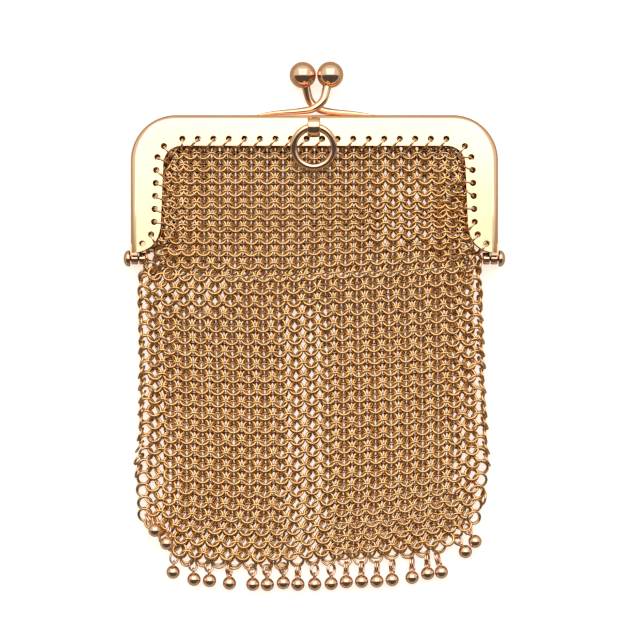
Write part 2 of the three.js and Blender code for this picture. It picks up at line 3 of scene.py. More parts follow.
import bpy
import numpy as np
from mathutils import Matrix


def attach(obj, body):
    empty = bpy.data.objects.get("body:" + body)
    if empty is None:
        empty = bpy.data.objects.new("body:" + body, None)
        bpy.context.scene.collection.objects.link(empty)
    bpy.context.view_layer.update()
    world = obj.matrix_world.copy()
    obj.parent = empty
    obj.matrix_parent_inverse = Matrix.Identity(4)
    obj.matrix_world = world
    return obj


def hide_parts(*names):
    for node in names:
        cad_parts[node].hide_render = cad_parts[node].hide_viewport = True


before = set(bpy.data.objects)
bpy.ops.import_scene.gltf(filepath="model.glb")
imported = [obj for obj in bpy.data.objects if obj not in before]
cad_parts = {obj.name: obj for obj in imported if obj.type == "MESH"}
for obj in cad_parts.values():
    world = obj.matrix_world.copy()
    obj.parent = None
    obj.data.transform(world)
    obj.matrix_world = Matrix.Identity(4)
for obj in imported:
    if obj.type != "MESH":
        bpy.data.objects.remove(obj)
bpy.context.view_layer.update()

# Lengths are in millimetres, as in the frame's own plan: X across the purse, Y 0 on the hinge axis,
# Z 0 midway between the two halves. SHIFT then moves a point to where the frame has it.
MM = 0.001
SHIFT = np.array([0.0, 11.394, 2.65])
RANDOM = np.random.default_rng(7)

# Frame halves
HALF_WIDTH = 30.5
FRAME_TOP = 23.8
FRAME_CORNER = 7.5
PLATE_FRONT = 2.65
SHEET = 0.6
WALL_BEND = 0.12
PLATE_BACK = PLATE_FRONT - SHEET
SHOULDER = 0.95
RIM_WIDTH = 1.2
MEETING_GAP = 0.3
LEG_END = 0.9
INNER_TOP = 18.8
SIDE_BAND = 5.3
WAIST_BAND = 4.9
WAIST_HEIGHT = 5.9
INNER_CORNER = 3.2
SWEEP = ((0, 1), (0.04, 0.42), (0.27, 0.1), (0.94, 0))
EDGE_ROUND = 0.1
HOLE_RADIUS = 0.475
HOLE_INSET = 1.0
TOP_GAPS = 17
TOP_ROW_HALF = 21.9
LEG_HOLES = 9

# Which way the lacing rings lead from the holes of each leg, in degrees, from the top hole down
LACING_TOP = (-95,) + (-129,) * TOP_GAPS
LACING_RIGHT = (-136, 180, 156, 168, 143, 171, -129, -130, -127)
LACING_LEFT = (-53, -29, -39, -18, -28, -23, -3, -67, -60)

# Lacing rings of the front and the back half: height of the middle, radius, and how far off the hole
LACING = {1: (2.0, 0.95), -1: (-1.8, 0.84)}
LACING_OUT = 0.85
LACING_SPREAD = 3  # degrees

# Hinges
KNUCKLE_RADIUS = 1.0
KNUCKLE_LENGTH = 1.1
RUNNING_GAP = 0.2
PIN_RADIUS = 0.4
CAP_RADIUS = 1.35
CAP_HEIGHT = 1.1
TAB_RISE = 1.5

# Clasp, eye and suspension ring
CLASP_X = 0.35
BALL_RADIUS = 2.2
BALL_SPREAD = 4.57
BALL_RISE = 6.8
BALL_STAGGER = 0.3
ARM_REACH = 9.9
ARM_RADIUS = 0.675
ARM = (
    (-1, 0, 0.005, 0.46, 0.2),
    (-0.7, 0, 0.055, 0.46, 0.52),
    (-0.24, 0, 0.105, 0.42, 0.8),
    (-0.05, 0, 0.17, 0.38, 0.94),
    (0, 0.46, 0.36, 0.33, 0.98),
    (0, 0.74, 0.66, 0.22, 1.02),
    (0, 0.9, 0.88, 0.14, 1.3),
)
EYE_AT = np.array([-0.1, 21.75, 4.0])
EYE_RADIUS = 1.65
EYE_HALF = 1.05
EYE_HOLE = 0.975
RING_RADIUS = 3.35
RING_WIRE = 0.6
RING_TILT = 10.745

# Mesh
BAG_LENGTH = 51.4
BAG_HALF_WIDTH = 29.7
LYING_HALF = 1.2
MOUTH_HALF = 1.75
OUTLINE = np.array((
    (0, 0.93, 0.925), (0.022, 0.935, 0.928), (0.045, 0.985, 0.938), (0.08, 1, 0.942),
    (0.23, 0.995, 0.953), (0.4, 0.99, 0.963), (0.56, 0.997, 0.977), (0.7, 1.012, 0.993),
    (0.765, 1.02, 0.986), (0.82, 1, 0.952), (0.865, 0.965, 0.895), (0.905, 0.92, 0.83),
    (0.94, 0.87, 0.765), (0.97, 0.805, 0.69), (0.99, 0.74, 0.59), (1, 0.67, 0.47),
))
MESH_RADIUS = 1.1
MESH_WIRE = 0.2
MESH_LEAN = 20
AROUND = 44
PITCH = 2.627
ROWS = 68
SPLIT_ROW = 36
RING_SEGMENTS = 16
RING_SIDES = 6
TOP_ROW = 20.684
ROW_STEP = 1.0333
# The back layer lies lower by BACK_DROP where the mesh looks closed, and every row by ROW_SAG
BACK_DROP = 0.93
ROW_SAG = 0.13
# How much wider the mesh is than the solid bag, under the legs and beside the hinges
UNDER_LEG = 1.2
HINGE_REACH = 0.65
# How far the rings' middles lie inside the bag's faces and edges, and how the lying bag ripples
LAYER_INSET = 0.58
EDGE_INSET = 0.6
RIPPLE_HEIGHT = 0.15
RIPPLE_LENGTH = 17
# Where the bag is narrower than its rows are long, this much of each edge takes up the rest
CROWDED = 6
# How open the open zones are at most
MOST_OPEN = 0.84
# How far the rows of the front layer hang below straight ones: at a height, first near the left
# middle, then how much more at the left edge and at the right edge
DRAPE = np.array((
    (20.7, 0.95, 0.0, 0.0), (10.4, 0.93, -0.1, 0.0), (6.1, 0.65, -0.18, -0.8), (1.7, 0.62, -0.18, -1.4),
    (-7, 0.72, -0.25, -1.75), (-15.6, 0.9, -0.35, -2.05), (-24.3, 1.05, -0.45, -2.25),
    (-33, 1.4, -0.6, -2.75), (-41.6, 1.63, -0.8, -2.9), (-52, 1.75, -0.9, -2.9),
))
DRAPE_RIGHT = np.array((
    (-9, 0.0), (-3.1, 0.07), (0.9, 0.25), (4.9, 0.38), (8.9, 0.48), (12.9, 0.56),
    (16.9, 0.7), (20.9, 0.88), (25, 1.0), (30, 1.15),
))

# Drops
DROP_RADIUS = 1.11
DROP_EYE = 0.42
DROP_EYE_WIRE = 0.14
LINK_HALF = 0.925
LINK_HALF_WIDTH = 0.65
LINK_WIRE = 0.175
LINK_SINK = 0.8
BALL_FROM_EYE = 1.44
LYING_PITCH = 26
LINK_OFFSETS = (-0.17, 0.2)
HEM_SAG = 0.4
DROPS = (
    (-0.79, -4, 10, 0.5), (-0.683, 4, 15, 0.5), (-0.594, 3, 20, 0.5), (-0.481, 2, 60, 0.1),
    (-0.35, 2, 20, 0), (-0.268, 2, 35, 0), (-0.175, 0, 30, 0.4), (-0.093, 0, 70, 0.1),
    (0, 1, 25, 0.1), (0.094, 0, 30, 0.2), (0.179, 0, 80, 0.5), (0.265, 0, 75, 0.5),
    (0.351, 0, 80, 0.45), (0.437, 0, 65, 0.6), (0.549, 0, 80, 0.6), (0.634, 2, 75, 0.65),
    (0.69, 16, 70, 0.1), (0.808, 34, 30, 0.6), (0.865, 32, 20, 0.65),
)
LYING_DROPS = ((-0.943, 0.83, 30, 90), (-0.81, 0.865, -10, 90))


def unit(vectors):
    return vectors / np.linalg.norm(vectors, axis=-1, keepdims=True)


def smooth_step(value, low, high):
    share = np.clip((value - low) / (high - low), 0, 1)
    return share * share * (3 - 2 * share)


# ---------------------------------------------------------------- mesh building

class Shape:
    """Points and quads or triangles gathered for one piece."""

    def __init__(self):
        self.points = []
        self.faces = []
        self.flat = []
        self.count = 0

    def add(self, points, faces):
        points = np.asarray(points, float).reshape(-1, 3)
        for group in faces if isinstance(faces, list) else [faces]:
            group = np.asarray(group, int)
            self.faces.append(group + self.count)
            self.flat.append(np.zeros(len(group), bool))
        self.points.append(points)
        self.count += len(points)
        return self

    def build(self, name, material, slot, body="purse", stands_for=()):
        points = (np.concatenate(self.points) + SHIFT) * MM
        mesh = bpy.data.meshes.new(name)
        loops = np.concatenate([f.ravel() for f in self.faces])
        sizes = np.concatenate([np.full(len(f), f.shape[1]) for f in self.faces])
        mesh.vertices.add(len(points))
        mesh.vertices.foreach_set("co", points.ravel())
        mesh.loops.add(len(loops))
        mesh.loops.foreach_set("vertex_index", loops)
        mesh.polygons.add(len(sizes))
        mesh.polygons.foreach_set("loop_start", np.concatenate([[0], np.cumsum(sizes)[:-1]]))
        mesh.update(calc_edges=True)
        mesh.validate()
        mesh.polygons.foreach_set("use_smooth", ~np.concatenate(self.flat))
        mesh.materials.append(material)
        obj = bpy.data.objects.new(name, mesh)
        bpy.context.scene.collection.objects.link(obj)
        if stands_for:
            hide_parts(*stands_for)
        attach(obj, body)
        return obj


def grid_faces(rows, columns, closed_rows=False, closed_columns=True):
    i = np.arange(rows if closed_rows else rows - 1)
    j = np.arange(columns if closed_columns else columns - 1)
    i, j = np.meshgrid(i, j, indexing="ij")
    after, beside = (i + 1) % rows, (j + 1) % columns
    corners = (i * columns + j, after * columns + j, after * columns + beside, i * columns + beside)
    return np.stack([c.ravel() for c in corners], axis=1)


def wire_rings(centres, across, along, radius, wire, segments, sides, stretch=1.0):
    """Many closed wire rings at once: each lies in the plane of its across and along directions."""
    centres = np.asarray(centres, float).reshape(-1, 3)
    across, along = (np.broadcast_to(v, centres.shape) for v in (across, along))
    normal = np.cross(across, along)
    phi = 2 * math.pi * np.arange(segments) / segments
    psi = 2 * math.pi * np.arange(sides) / sides
    middle = (np.cos(phi)[None, :, None] * across[:, None] * radius
              + np.sin(phi)[None, :, None] * along[:, None] * radius * stretch)
    ahead = unit(-np.sin(phi)[None, :, None] * across[:, None]
                 + np.cos(phi)[None, :, None] * along[:, None] * stretch)
    out = np.cross(ahead, normal[:, None])
    points = (centres[:, None, None] + middle[:, :, None]
              + out[:, :, None] * (wire * np.cos(psi))[None, None, :, None]
              + normal[:, None, None] * (wire * np.sin(psi))[None, None, :, None])
    one = grid_faces(segments, sides, closed_rows=True)
    faces = one[None] + (np.arange(len(centres)) * segments * sides)[:, None, None]
    return points.reshape(-1, 3), faces.reshape(-1, 4)


def ball(centre, radius, around=48, bands=24):
    """Sphere with its poles along Y."""
    up = math.pi * np.arange(1, bands) / bands
    turn = 2 * math.pi * np.arange(around) / around
    up, turn = np.meshgrid(up, turn, indexing="ij")
    body = np.stack([np.sin(up) * np.cos(turn), np.cos(up), np.sin(up) * -np.sin(turn)], axis=-1)
    points = np.concatenate([body.reshape(-1, 3), [[0, 1, 0], [0, -1, 0]]]) * radius + centre
    top, low = (bands - 1) * around, (bands - 1) * around + 1
    j = np.arange(around)
    after = (j + 1) % around
    last = (bands - 2) * around
    caps = np.concatenate([
        np.stack([np.full(around, top), j, after], axis=1),
        np.stack([np.full(around, low), last + after, last + j], axis=1),
    ])
    return points, [grid_faces(bands - 1, around), caps]


def swept(path, radii, sides=24):
    """Round bar along a path, closed at both ends, with its radius given at each point."""
    path = np.asarray(path, float)
    ahead = unit(np.gradient(path, axis=0))
    across = unit(np.cross(np.array([0.0, 0.0, 1.0]), ahead))
    up = np.cross(ahead, across)
    psi = 2 * math.pi * np.arange(sides) / sides
    rings = (path[:, None]
             + across[:, None] * (np.asarray(radii)[:, None] * np.cos(psi))[..., None]
             + up[:, None] * (np.asarray(radii)[:, None] * np.sin(psi))[..., None])
    points = np.concatenate([rings.reshape(-1, 3), path[:1], path[-1:]])
    count = len(path)
    j = np.arange(sides)
    after = (j + 1) % sides
    last = (count - 1) * sides
    caps = np.concatenate([
        np.stack([np.full(sides, count * sides), after, j], axis=1),
        np.stack([np.full(sides, count * sides + 1), last + j, last + after], axis=1),
    ])
    return points, [grid_faces(count, sides), caps]


def turned(profile, centre, sides=32):
    """Body turned on the X axis from (x, radius) points, closed on itself."""
    profile = np.asarray(profile, float)
    turn = 2 * math.pi * np.arange(sides) / sides
    points = np.stack([
        np.repeat(profile[:, 0:1], sides, axis=1),
        profile[:, 1:2] * np.cos(turn)[None],
        profile[:, 1:2] * np.sin(turn)[None],
    ], axis=-1)
    return points.reshape(-1, 3) + centre, grid_faces(len(profile), sides, closed_rows=True)


def flipped(points, faces, axis):
    """Mirror image across 0 on an axis."""
    points = np.array(points, float)
    points[:, axis] *= -1
    faces = faces if isinstance(faces, list) else [faces]
    return points, [np.asarray(f)[:, ::-1] for f in faces]


def spline(rows, count):
    """Catmull-Rom curve through rows of numbers, sampled evenly by row."""
    rows = np.asarray(rows, float)
    padded = np.concatenate([[2 * rows[0] - rows[1]], rows, [2 * rows[-1] - rows[-2]]])
    at = np.linspace(0, len(rows) - 1, count)
    start = np.minimum(at.astype(int), len(rows) - 2)
    t = (at - start)[:, None]
    a, b, c, d = (padded[start + n] for n in range(4))
    return 0.5 * (2 * b + (c - a) * t + (2 * a - 5 * b + 4 * c - d) * t ** 2
                  + (3 * b - a - 3 * c + d) * t ** 3)


# ---------------------------------------------------------------- frame halves

def frame_outline(inset, steps=20):
    """Outer outline from the right leg's foot over the top to the left leg's foot."""
    angle = np.linspace(0, math.pi / 2, steps + 1)
    radius = FRAME_CORNER - inset
    right = np.stack([
        HALF_WIDTH - FRAME_CORNER + radius * np.cos(angle),
        FRAME_TOP - FRAME_CORNER + radius * np.sin(angle),
    ], axis=1)
    right = np.concatenate([[[HALF_WIDTH - inset, LEG_END]], right])
    left = right[::-1] * (-1, 1)
    return np.concatenate([right, left])


def inner_edge(grow=0.0, steps=12):
    """Inner edge of the right leg from its foot to the inner corner, moved outward by grow."""
    waist = HALF_WIDTH - WAIST_BAND
    ends = np.array([(waist + out * WAIST_BAND, LEG_END + rise * (WAIST_HEIGHT - LEG_END))
                     for out, rise in SWEEP])[::-1]
    t = np.linspace(0, 1, steps + 1)[:, None]
    sweep = (ends[0] * (1 - t) ** 3 + 3 * ends[1] * t * (1 - t) ** 2
             + 3 * ends[2] * t ** 2 * (1 - t) + ends[3] * t ** 3)
    edge = np.concatenate([sweep, [[HALF_WIDTH - SIDE_BAND, INNER_TOP - INNER_CORNER]]])
    step = np.gradient(edge, axis=0)
    side = unit(np.stack([step[:, 1], -step[:, 0]], axis=1))
    return edge + side * grow


def inner_outline():
    """Inner edge all the way round, from the left foot to the right foot."""
    angle = np.linspace(0, math.pi / 2, 11)[1:]
    corner = np.stack([
        HALF_WIDTH - SIDE_BAND - INNER_CORNER + INNER_CORNER * np.cos(angle),
        INNER_TOP - INNER_CORNER + INNER_CORNER * np.sin(angle),
    ], axis=1)
    right = np.concatenate([inner_edge(), corner])
    return np.concatenate([right * (-1, 1), right[::-1]])


def hole_centres():
    """Holes of the top row, then of the right and the left leg from the top down."""
    top = np.stack([np.linspace(-TOP_ROW_HALF, TOP_ROW_HALF, TOP_GAPS + 1),
                    np.full(TOP_GAPS + 1, INNER_TOP + HOLE_INSET)], axis=1)
    angle = np.linspace(math.pi / 4, 0, 7)[:-1]
    corner = np.array([HALF_WIDTH - SIDE_BAND - INNER_CORNER, INNER_TOP - INNER_CORNER])
    corner = corner + (INNER_CORNER + HOLE_INSET) * np.stack([np.cos(angle), np.sin(angle)], axis=1)
    route = np.concatenate([corner, inner_edge(HOLE_INSET, 4)[1:][::-1]])
    lengths = np.concatenate([[0], np.cumsum(np.linalg.norm(np.diff(route, axis=0), axis=1))])
    at = np.linspace(0, lengths[-1], LEG_HOLES)
    leg = np.stack([np.interp(at, lengths, route[:, 0]), np.interp(at, lengths, route[:, 1])], axis=1)
    return top, leg


def pierced_plate():
    """Flat plate with its holes, edges rounded, as points and faces."""
    curve = bpy.data.curves.new("plate", "CURVE")
    curve.dimensions = "2D"
    curve.fill_mode = "BOTH"
    curve.extrude = SHEET / 2 - EDGE_ROUND
    curve.bevel_depth = EDGE_ROUND
    curve.bevel_resolution = 3
    curve.offset = -EDGE_ROUND
    outer = frame_outline(RIM_WIDTH - EDGE_ROUND)
    rim = np.concatenate([outer, inner_outline()])
    top, leg = hole_centres()
    circle = np.linspace(0, 2 * math.pi, 25)[:-1]
    circle = HOLE_RADIUS * np.stack([np.cos(circle), np.sin(circle)], axis=1)
    loops = [rim] + [circle + c for c in np.concatenate([top, leg, leg * (-1, 1)])]
    for loop in loops:
        line = curve.splines.new("POLY")
        line.points.add(len(loop) - 1)
        flat_and_weight = np.tile((0.0, 1.0), (len(loop), 1))
        line.points.foreach_set("co", np.concatenate([loop, flat_and_weight], axis=1).ravel())
        line.use_cyclic_u = True
    maker = bpy.data.objects.new("plate_maker", curve)
    bpy.context.scene.collection.objects.link(maker)
    bpy.context.view_layer.update()
    mesh = bpy.data.meshes.new_from_object(maker.evaluated_get(bpy.context.evaluated_depsgraph_get()))
    points = np.empty(len(mesh.vertices) * 3)
    mesh.vertices.foreach_get("co", points)
    points = points.reshape(-1, 3) + (0, 0, PLATE_BACK + SHEET / 2)
    mesh.calc_loop_triangles()
    faces = np.empty(len(mesh.loop_triangles) * 3, int)
    mesh.loop_triangles.foreach_get("vertices", faces)
    faces = faces.reshape(-1, 3)
    corners = points[faces]
    normal = unit(np.cross(corners[:, 1] - corners[:, 0], corners[:, 2] - corners[:, 0]) + 1e-12)
    bpy.data.objects.remove(maker)
    bpy.data.curves.remove(curve)
    bpy.data.meshes.remove(mesh)
    return points, faces, np.abs(normal[:, 2]) > 0.999


def rounded_rim():
    """Shoulder and wall of a half, swept round its outline."""
    angle = np.linspace(math.pi / 2, 0, 13)
    inside = SHOULDER - SHEET
    profile = [
        (RIM_WIDTH - RIM_WIDTH * math.cos(a), PLATE_FRONT - SHOULDER + SHOULDER * math.sin(a))
        for a in angle
    ]
    low = MEETING_GAP / 2
    for a in np.linspace(0, math.pi / 2, 4):
        profile.append((WALL_BEND - WALL_BEND * math.cos(a), low + WALL_BEND - WALL_BEND * math.sin(a)))
    profile.append((SHEET, low))
    for a in angle[::-1]:
        drawn_in = SHEET + (RIM_WIDTH - SHEET) * (1 - math.cos(a))
        profile.append((drawn_in, PLATE_BACK - inside + inside * math.sin(a)))
    lines = np.stack([
        np.concatenate([frame_outline(inset), np.full((len(frame_outline(inset)), 1), z)], axis=1)
        for inset, z in profile
    ])
    rows, columns = lines.shape[:2]
    faces = grid_faces(rows, columns, closed_rows=True, closed_columns=False)
    ends = [np.arange(rows)[None] * columns + columns - 1, np.arange(rows)[::-1][None] * columns]
    return lines.reshape(-1, 3), [faces[:, ::-1], ends[0], ends[1]]


def clasp_arm():
    """Arm and ball of the front half: it runs to the right."""
    rows = [(reach * ARM_REACH + spread * BALL_SPREAD / 2, FRAME_TOP + up * BALL_RISE,
             fore * PLATE_FRONT, thick * ARM_RADIUS) for reach, spread, up, fore, thick in ARM]
    line = spline(rows, 72)
    place = (BALL_SPREAD / 2, FRAME_TOP + BALL_RISE, BALL_STAGGER)
    return swept(line[:, :3], line[:, 3], 28), ball(place, BALL_RADIUS, 72, 36)


def rounded_bar(radius, start, end, bend=0.16, bore=0.0):
    """Profile of a knuckle: a short cylinder with rounded edges."""
    profile = [(start, max(bore, 0.001))]
    for a in np.linspace(0, math.pi / 2, 5):
        profile.append((start + bend - bend * math.cos(a), radius - bend + bend * math.sin(a)))
    for a in np.linspace(0, math.pi / 2, 5):
        profile.append((end - bend + bend * math.sin(a), radius - bend + bend * math.cos(a)))
    profile.append((end, max(bore, 0.001)))
    return profile


def box_points(low, high):
    (x0, y0, z0), (x1, y1, z1) = low, high
    points = [(x0, y0, z0), (x1, y0, z0), (x1, y1, z0), (x0, y1, z0),
              (x0, y0, z1), (x1, y0, z1), (x1, y1, z1), (x0, y1, z1)]
    faces = [(0, 3, 2, 1), (4, 5, 6, 7), (0, 1, 5, 4), (1, 2, 6, 5), (2, 3, 7, 6), (3, 0, 4, 7)]
    return points, np.array(faces)


def frame_half(place, arm_sign, depth_sign):
    """Every part of a half as (points, faces, flat), the back one mirrored in Z."""
    parts = []
    points, faces, flat = pierced_plate()
    parts.append((points, [faces], [flat]))
    points, faces = rounded_rim()
    parts.append((points, faces, [np.zeros(len(f), bool) for f in faces]))
    start = HALF_WIDTH - KNUCKLE_LENGTH - place * (KNUCKLE_LENGTH + RUNNING_GAP)
    bar = rounded_bar(KNUCKLE_RADIUS, start, start + KNUCKLE_LENGTH, bore=PIN_RADIUS + 0.1)
    knuckle = turned(bar, (0, 0, 0))
    tab = box_points((start, 0.5, 0.3), (start + KNUCKLE_LENGTH, TAB_RISE + 1, 2.05))
    for points, faces in (knuckle, tab):
        flat = len(faces) == 6
        parts.append((points, [faces], [np.full(len(faces), flat)]))
        points, faces = flipped(points, faces, 0)
        parts.append((points, faces, [np.full(len(faces[0]), flat)]))
    for points, faces in clasp_arm():
        if arm_sign < 0:
            points, faces = flipped(points, faces, 0)
        points = points + (CLASP_X, 0, 0)
        parts.append((points, faces, [np.zeros(len(f), bool) for f in faces]))
    if depth_sign < 0:
        parts = [(*flipped(points, faces, 2), flat) for points, faces, flat in parts]
    return parts


def eye_profile():
    profile = [(-EYE_HALF, EYE_HOLE)]
    for a in np.linspace(-1, 1, 13):
        profile.append((EYE_HALF * math.sin(a * math.pi / 2) if abs(a) < 1 else EYE_HALF * a,
                        EYE_RADIUS - 0.22 * (1 - math.cos(a * math.pi / 2))))
    profile.append((EYE_HALF, EYE_HOLE))
    return profile


def add_parts(shape, parts):
    for points, faces, flats in parts:
        points = np.asarray(points, float).reshape(-1, 3)
        for group, flat in zip(faces, flats):
            shape.faces.append(np.asarray(group, int) + shape.count)
            shape.flat.append(np.asarray(flat, bool))
        shape.points.append(points)
        shape.count += len(points)


# ---------------------------------------------------------------- ring mesh

def edges_at(y):
    """Left and right edges of the bag at heights y."""
    y = np.asarray(y, float)
    down = np.clip(-y / BAG_LENGTH, 0, 1)
    left = np.interp(down, OUTLINE[:, 0], OUTLINE[:, 1]) * BAG_HALF_WIDTH
    right = np.interp(down, OUTLINE[:, 0], OUTLINE[:, 2]) * BAG_HALF_WIDTH
    edge = inner_edge(0.5)
    order = np.argsort(edge[:, 1])
    in_frame = np.interp(y, edge[order, 1], edge[order, 0])
    in_frame = in_frame + UNDER_LEG * smooth_step(y, 1.5, 5)
    left = np.where(y > 0, np.minimum(in_frame, left), left)
    right = np.where(y > 0, np.minimum(in_frame, right), right)
    at_hinge = HINGE_REACH * (1 - smooth_step(np.abs(y), 1, 2.4))
    return left + at_hinge, right + at_hinge


def settled(y):
    return smooth_step(-np.asarray(y, float), -3, 18)


def drape(x, y):
    """How much lower a row hangs at a place than a straight one."""
    order = DRAPE[::-1]
    base, left, right = (np.interp(y, order[:, 0], order[:, n]) for n in (1, 2, 3))
    to_right = np.interp(x, DRAPE_RIGHT[:, 0], DRAPE_RIGHT[:, 1])
    to_left = np.clip((-10.7 - x) / 12.3, 0, None) ** 1.5
    return base + left * to_left + right * to_right + ROW_SAG


def open_share(x, y):
    """How far the holes of the two layers line up at a place, so that light shows through."""
    strip = 0.9 * smooth_step(x, -7, -3.6) * (1 - smooth_step(x, 0.2, 4.2)) * smooth_step(-y, 3, 9)
    shoulder = (smooth_step(x, 7, 12) * (1 - smooth_step(x, 21, 24))
                * smooth_step(y, 1.5, 5) * (1 - 0.5 * smooth_step(y, 12, 15)))
    left_edge = 0.9 * smooth_step(-x, 23.5, 26.5) * smooth_step(-y, 0, 4)
    right_edge = 0.75 * smooth_step(x, 21.5, 26) * smooth_step(-y, 2, 8)
    hem = 0.55 * smooth_step(-y, 41, 47) * smooth_step(np.abs(x - 2), 6, 12)
    hinge = 0.8 * smooth_step(-x, 12, 16) * smooth_step(y, -9, -6) * (1 - smooth_step(y, -2, 1))
    return MOST_OPEN * np.max([strip, shoulder, left_edge, right_edge, hem, hinge], axis=0)


def bag_point(around, row_y):
    """Point of the tube of mesh: around runs over the front from the left fold to the right one."""
    half_way = AROUND / 2
    around = np.mod(around, AROUND)
    front = around < half_way
    s = np.where(front, around - half_way / 2, 1.5 * half_way - around) * PITCH
    left, right = edges_at(row_y)
    left, right = left - EDGE_INSET, right - EDGE_INSET
    settle = settled(row_y)
    half = MOUTH_HALF + (LYING_HALF - MOUTH_HALF) * settle - LAYER_INSET
    middle = (LYING_HALF - PLATE_FRONT) * settle
    centre = (right - left) / 2
    reach = (right + left) / 2 - half
    whole = PITCH * half_way / 2
    # the outer columns crowd together where the bag is narrower than its rows are long
    hem = smooth_step(-row_y, 38, 43)
    bend_from = reach - CROWDED
    share = (np.abs(s) - bend_from) / (whole - bend_from)
    local = reach + math.pi / 2 * half
    squeezed = bend_from + np.clip(share, 0, None) * (local - bend_from)
    length = np.where(np.abs(s) > bend_from, squeezed, np.abs(s))
    length = np.abs(s) * hem + length * (1 - hem)
    past = np.clip(length - reach, 0, None) / half
    past = np.where(hem > 0.5, 0, np.minimum(past, math.pi / 2))
    x = np.where(past > 0, reach + half * np.sin(past), length)
    z = half * np.cos(past)
    x = centre + np.sign(s) * x
    share = np.clip(np.abs(x - centre) / (reach + half), 0, 1)
    across, down = x / RIPPLE_LENGTH, row_y / RIPPLE_LENGTH
    ripple = np.sin(across * 2 * math.pi + down) + np.cos(down * math.pi - across)
    ripple = RIPPLE_HEIGHT * ripple * settle * (1 - share ** 4)
    z = np.where(front, z + ripple, -z)
    y = row_y - drape(x, row_y)
    y = y - np.where(front, 0, BACK_DROP * (1 - open_share(x, y)) * (1 - smooth_step(share, 0.93, 1)))
    return np.stack([x, y, middle + z], axis=-1)


def mesh_rings():
    """Centres and directions of all the mesh's rings, row by row."""
    rows = np.arange(ROWS)
    heights = TOP_ROW - rows * ROW_STEP
    around = (np.arange(AROUND)[None] + 0.5 * (rows[:, None] % 2))
    around = np.mod(around, AROUND)
    y = np.broadcast_to(heights[:, None], around.shape)
    centre = bag_point(around, y)
    step = 0.05
    across = bag_point(around + step, y) - bag_point(around - step, y)
    up = bag_point(around, y + step) - bag_point(around, y - step)
    across = unit(across)
    up = unit(up - (up * across).sum(-1, keepdims=True) * across)
    out = np.cross(across, up)
    half_way = AROUND / 2
    s = np.where(around < half_way, around - half_way / 2, 1.5 * half_way - around) * PITCH
    folds = np.abs(np.abs(s) - PITCH * half_way / 2) < 0.1 * PITCH
    left, right = edges_at(centre[..., 1])
    inside = (centre[..., 0] < right - 0.8) & (centre[..., 0] > -left + 0.8)
    keep = np.where(y < -37, inside, True) & ~(folds & (y > -0.5))
    lean = np.radians(MESH_LEAN) * np.where(rows % 2 == 0, -1.0, 1.0)[:, None] * np.ones(around.shape)
    edge = (smooth_step(np.abs(s), 20, 27) * (0.35 + 0.65 * smooth_step(y, -6, 0))
            + 0.4 * smooth_step(-y, 45, 50))
    lean = lean + RANDOM.normal(0, 0.05, around.shape) * (1 + 5 * edge)
    yaw = RANDOM.normal(0, 0.05, around.shape) * (1 + 5 * edge)
    jolt = RANDOM.normal(0, 0.03, centre.shape) * (1 + 2 * edge)[..., None]
    spin = RANDOM.normal(0, 0.04, around.shape) * (1 + 4 * edge)
    wide = across * np.cos(yaw)[..., None] + out * np.sin(yaw)[..., None]
    tall = np.cross(out * np.cos(yaw)[..., None] - across * np.sin(yaw)[..., None], wide)
    deep = np.cross(wide, tall)
    tall = tall * np.cos(lean)[..., None] + deep * np.sin(lean)[..., None]
    a = wide * np.cos(spin)[..., None] + tall * np.sin(spin)[..., None]
    b = tall * np.cos(spin)[..., None] - wide * np.sin(spin)[..., None]
    centre = centre + jolt
    low = MESH_RADIUS * np.hypot(a[..., 2], b[..., 2]) + MESH_WIRE - PLATE_FRONT
    centre[..., 2] = np.maximum(centre[..., 2], low)
    return centre, a, b, keep, around < half_way


# ---------------------------------------------------------------- drops

def turn_matrix(axis, degrees):
    c, s = math.cos(math.radians(degrees)), math.sin(math.radians(degrees))
    i, j = [(1, 2), (2, 0), (0, 1)][axis]
    matrix = np.eye(3)
    matrix[i, i] = matrix[j, j] = c
    matrix[j, i], matrix[i, j] = s, -s
    return matrix


def hem_point(x):
    down = np.linspace(OUTLINE[8, 0], 1, 2000)
    left, right = edges_at(-down * BAG_LENGTH)
    reach = left if x < 0 else right
    at = -down[reach >= abs(x)][-1] * BAG_LENGTH
    left, right = edges_at(at)
    share = (2 * x + left - right) / (left + right)
    sag = -HEM_SAG * (1 - share * share) * smooth_step(-at, BAG_LENGTH / 2, BAG_LENGTH)
    return x, at + sag


def drop_places():
    """Rotation and place of each drop's own axes: the eye's middle is at 0 and the ball on -Y."""
    places = []
    for across, down, heading, turn in LYING_DROPS:
        y = -down * BAG_LENGTH
        root = np.array([across * BAG_HALF_WIDTH, y, LYING_HALF - PLATE_FRONT + LYING_HALF - LINK_WIRE])
        places.append((root, heading, LYING_PITCH, turn, 2 * LINK_HALF))
    for across, heading, turn, pull in DROPS:
        x, y = hem_point(across * BAG_HALF_WIDTH)
        anchor = np.array([x, y, -PLATE_FRONT + DROP_RADIUS])
        places.append((anchor, heading, 0, turn, 2.2 - LINK_WIRE - LINK_SINK * (1 + pull)))
    done = []
    for anchor, heading, pitch, turn, reach in places:
        rotation = turn_matrix(2, heading) @ turn_matrix(0, -pitch) @ turn_matrix(1, turn)
        done.append((rotation, anchor + rotation @ np.array([0, -reach, 0])))
    return done


# ---------------------------------------------------------------- materials

